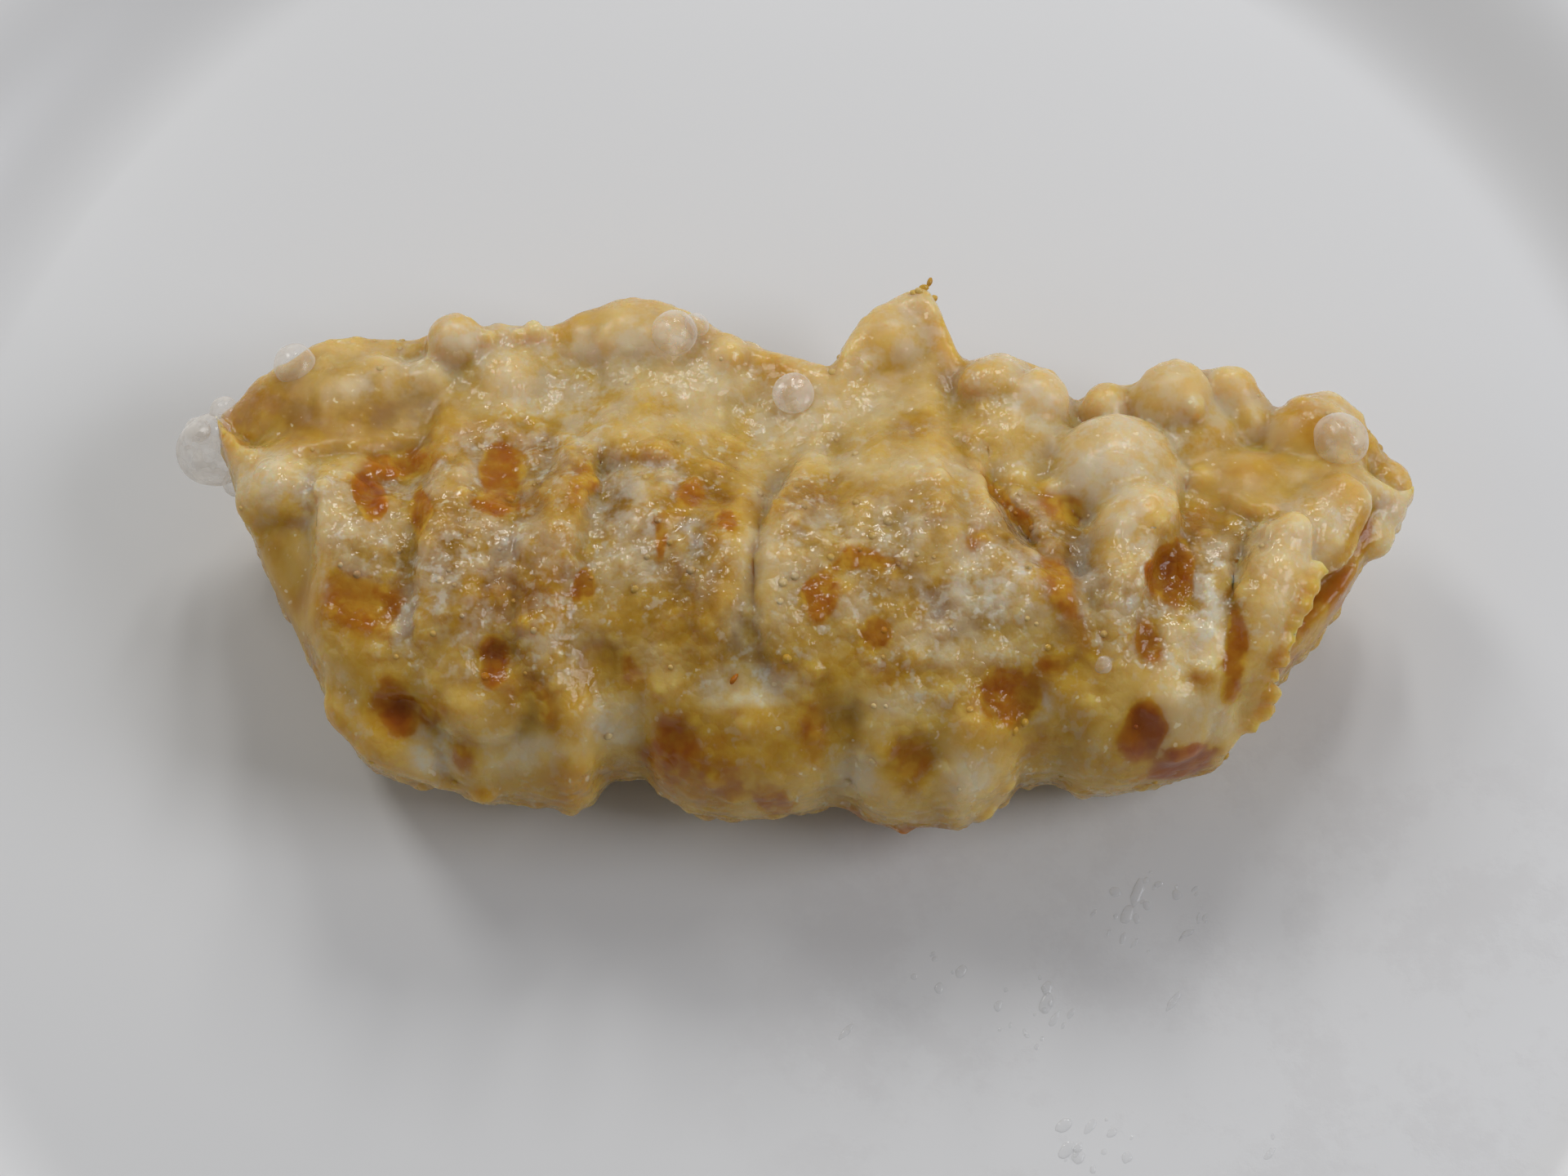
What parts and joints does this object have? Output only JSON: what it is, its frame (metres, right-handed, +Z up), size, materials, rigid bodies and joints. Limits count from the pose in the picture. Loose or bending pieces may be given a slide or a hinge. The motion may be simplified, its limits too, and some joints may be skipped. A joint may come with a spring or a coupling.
{
  "type": "fried gyoza dumpling on a plate",
  "caption": "Half-moon fried gyoza with a pleated front, frilled and blistered seam, lying on its back on a round white glazed plate with a shallow rim.",
  "frame": {"origin": "middle of the plate's foot, on the surface the plate stands on", "axes": "+Z up; +X along the dumpling towards its folded-back end; +Y from the dumpling's belly to its frilled seam"},
  "size_m": [0.2, 0.2, 0.031],
  "materials": {
    "glaze": "white gloss glaze",
    "fried_dough": "oily fried dough, cream to golden with orange-brown and red-brown spots",
    "clear_blister": "thin clear fried bubble, glossy",
    "oil": "clear oil, wet gloss"
  },
  "bodies": {
    "root": {"plate": "glaze", "dumpling": "fried_dough"}
  },
  "joints": []
}
